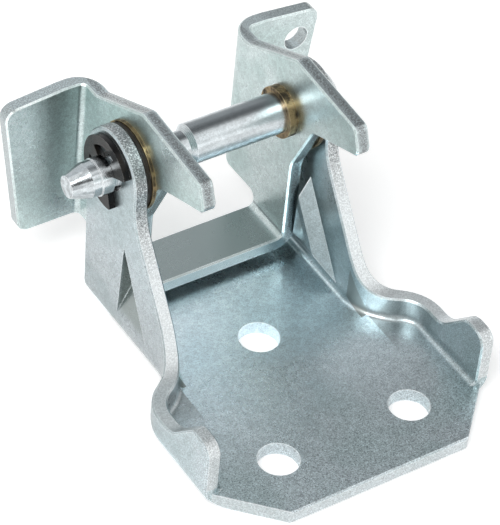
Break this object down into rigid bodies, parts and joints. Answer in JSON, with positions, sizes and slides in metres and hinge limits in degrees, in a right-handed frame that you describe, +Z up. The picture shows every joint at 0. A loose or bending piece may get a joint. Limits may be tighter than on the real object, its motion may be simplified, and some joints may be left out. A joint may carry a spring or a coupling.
{
  "type": "van door hinge",
  "caption": "Pressed steel van door hinge: a flanged base bracket with eared sides carries a stepped pin, on which a U-shaped swing bracket with outward flanges turns.",
  "frame": {"origin": "on the underside of the base plate, midway between the ears and straight below the pin axis", "axes": "+X along the pin, away from its nose; +Y from the front edge of the base plate to the back; +Z up from the plate"},
  "size_m": [0.107, 0.1281, 0.0786],
  "materials": {
    "zinc_base": "bright zinc plating, satin",
    "zinc_swing": "bright zinc plating, satin",
    "pin_steel": "turned and zinc plated",
    "black_clip": "black spring steel",
    "bronze": "dull sintered bronze",
    "dark_washer": "black oiled steel"
  },
  "bodies": {
    "base": {"base_bracket": "zinc_base", "hinge_pin": "pin_steel", "retaining_clip": "black_clip", "left_thrust_washer": "dark_washer", "right_thrust_washer": "dark_washer"},
    "swing": {"swing_bracket": "zinc_swing", "left_bush": "bronze", "right_bush": "bronze"}
  },
  "joints": [
    {"name": "door_swing", "type": "hinge", "parent": "base", "child": "swing", "pos_m": [0, 0, 0.0575], "axis": [1, 0, 0], "range_deg": [0, 85]}
  ]
}
